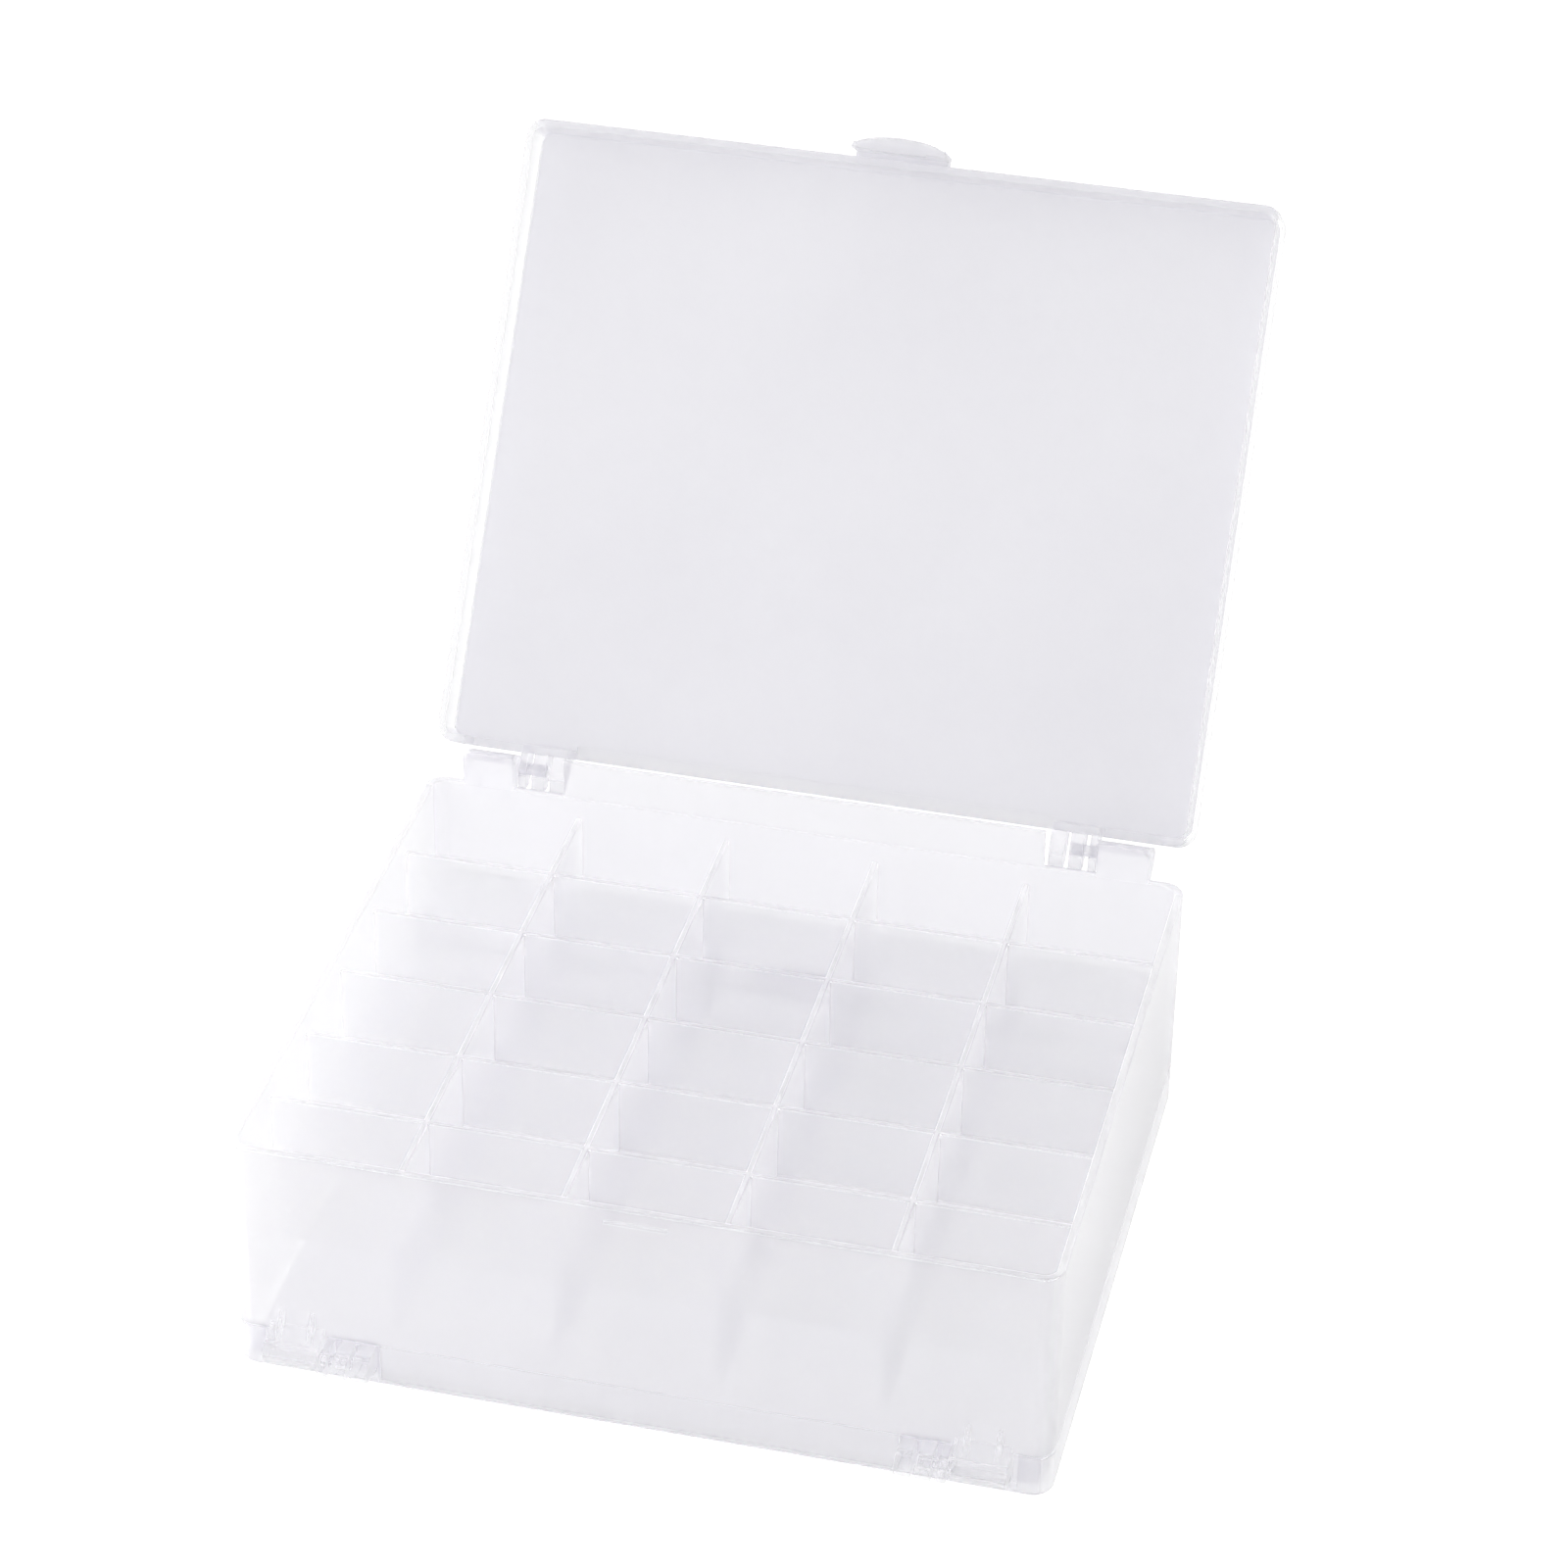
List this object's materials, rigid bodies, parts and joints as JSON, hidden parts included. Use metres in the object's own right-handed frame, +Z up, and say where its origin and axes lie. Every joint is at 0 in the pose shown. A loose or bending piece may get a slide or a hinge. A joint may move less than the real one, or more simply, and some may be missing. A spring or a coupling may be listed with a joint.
{
  "type": "bobbin storage box",
  "caption": "Clear plastic bobbin box with cells on both sides of a middle floor and a hinged, latching lid on each side.",
  "frame": {"origin": "centre of the outer face of the shut lower lid, the face that the box stands on", "axes": "+X to the right as seen from the front, +Y towards the hinges of the open upper lid, +Z up"},
  "size_m": [0.125, 0.1764, 0.1347],
  "materials": {
    "frosted_polypropylene": "frosted translucent polypropylene, satin"
  },
  "bodies": {
    "base": {"front_wall": "frosted_polypropylene", "rear_wall": "frosted_polypropylene", "left_wall": "frosted_polypropylene", "right_wall": "frosted_polypropylene", "wall_corners": "frosted_polypropylene", "middle_floor": "frosted_polypropylene", "upper_column_divider_1": "frosted_polypropylene", "upper_column_divider_2": "frosted_polypropylene", "upper_column_divider_3": "frosted_polypropylene", "upper_column_divider_4": "frosted_polypropylene", "upper_row_divider_1": "frosted_polypropylene", "upper_row_divider_2": "frosted_polypropylene", "upper_row_divider_3": "frosted_polypropylene", "upper_row_divider_4": "frosted_polypropylene", "upper_row_divider_5": "frosted_polypropylene", "lower_column_divider_1": "frosted_polypropylene", "lower_column_divider_2": "frosted_polypropylene", "lower_column_divider_3": "frosted_polypropylene", "lower_column_divider_4": "frosted_polypropylene", "lower_row_divider_1": "frosted_polypropylene", "lower_row_divider_2": "frosted_polypropylene", "lower_row_divider_3": "frosted_polypropylene", "lower_row_divider_4": "frosted_polypropylene", "lower_row_divider_5": "frosted_polypropylene", "rear_hinge_wall": "frosted_polypropylene", "front_hinge_wall": "frosted_polypropylene", "rear_left_hinge_ear": "frosted_polypropylene", "rear_right_hinge_ear": "frosted_polypropylene", "front_left_hinge_ear": "frosted_polypropylene", "front_right_hinge_ear": "frosted_polypropylene", "front_latch_catch": "frosted_polypropylene", "rear_latch_catch": "frosted_polypropylene"},
    "top_lid": {"top_lid_panel": "frosted_polypropylene", "top_lid_free_edge_skirt": "frosted_polypropylene", "top_lid_left_skirt": "frosted_polypropylene", "top_lid_right_skirt": "frosted_polypropylene", "top_lid_skirt_corners": "frosted_polypropylene", "top_lid_left_knuckle": "frosted_polypropylene", "top_lid_right_knuckle": "frosted_polypropylene", "top_lid_latch_tab": "frosted_polypropylene"},
    "bottom_lid": {"bottom_lid_panel": "frosted_polypropylene", "bottom_lid_free_edge_skirt": "frosted_polypropylene", "bottom_lid_left_skirt": "frosted_polypropylene", "bottom_lid_right_skirt": "frosted_polypropylene", "bottom_lid_skirt_corners": "frosted_polypropylene", "bottom_lid_left_knuckle": "frosted_polypropylene", "bottom_lid_right_knuckle": "frosted_polypropylene", "bottom_lid_latch_tab": "frosted_polypropylene"}
  },
  "joints": [
    {"name": "top_lid_hinge", "type": "hinge", "parent": "base", "child": "top_lid", "pos_m": [0, 0.0541, 0.0426], "axis": [-1, 0, 0], "range_deg": [-125, 0]},
    {"name": "bottom_lid_hinge", "type": "hinge", "parent": "base", "child": "bottom_lid", "pos_m": [0, -0.0541, 0.0056], "axis": [-1, 0, 0], "range_deg": [0, 125]}
  ]
}
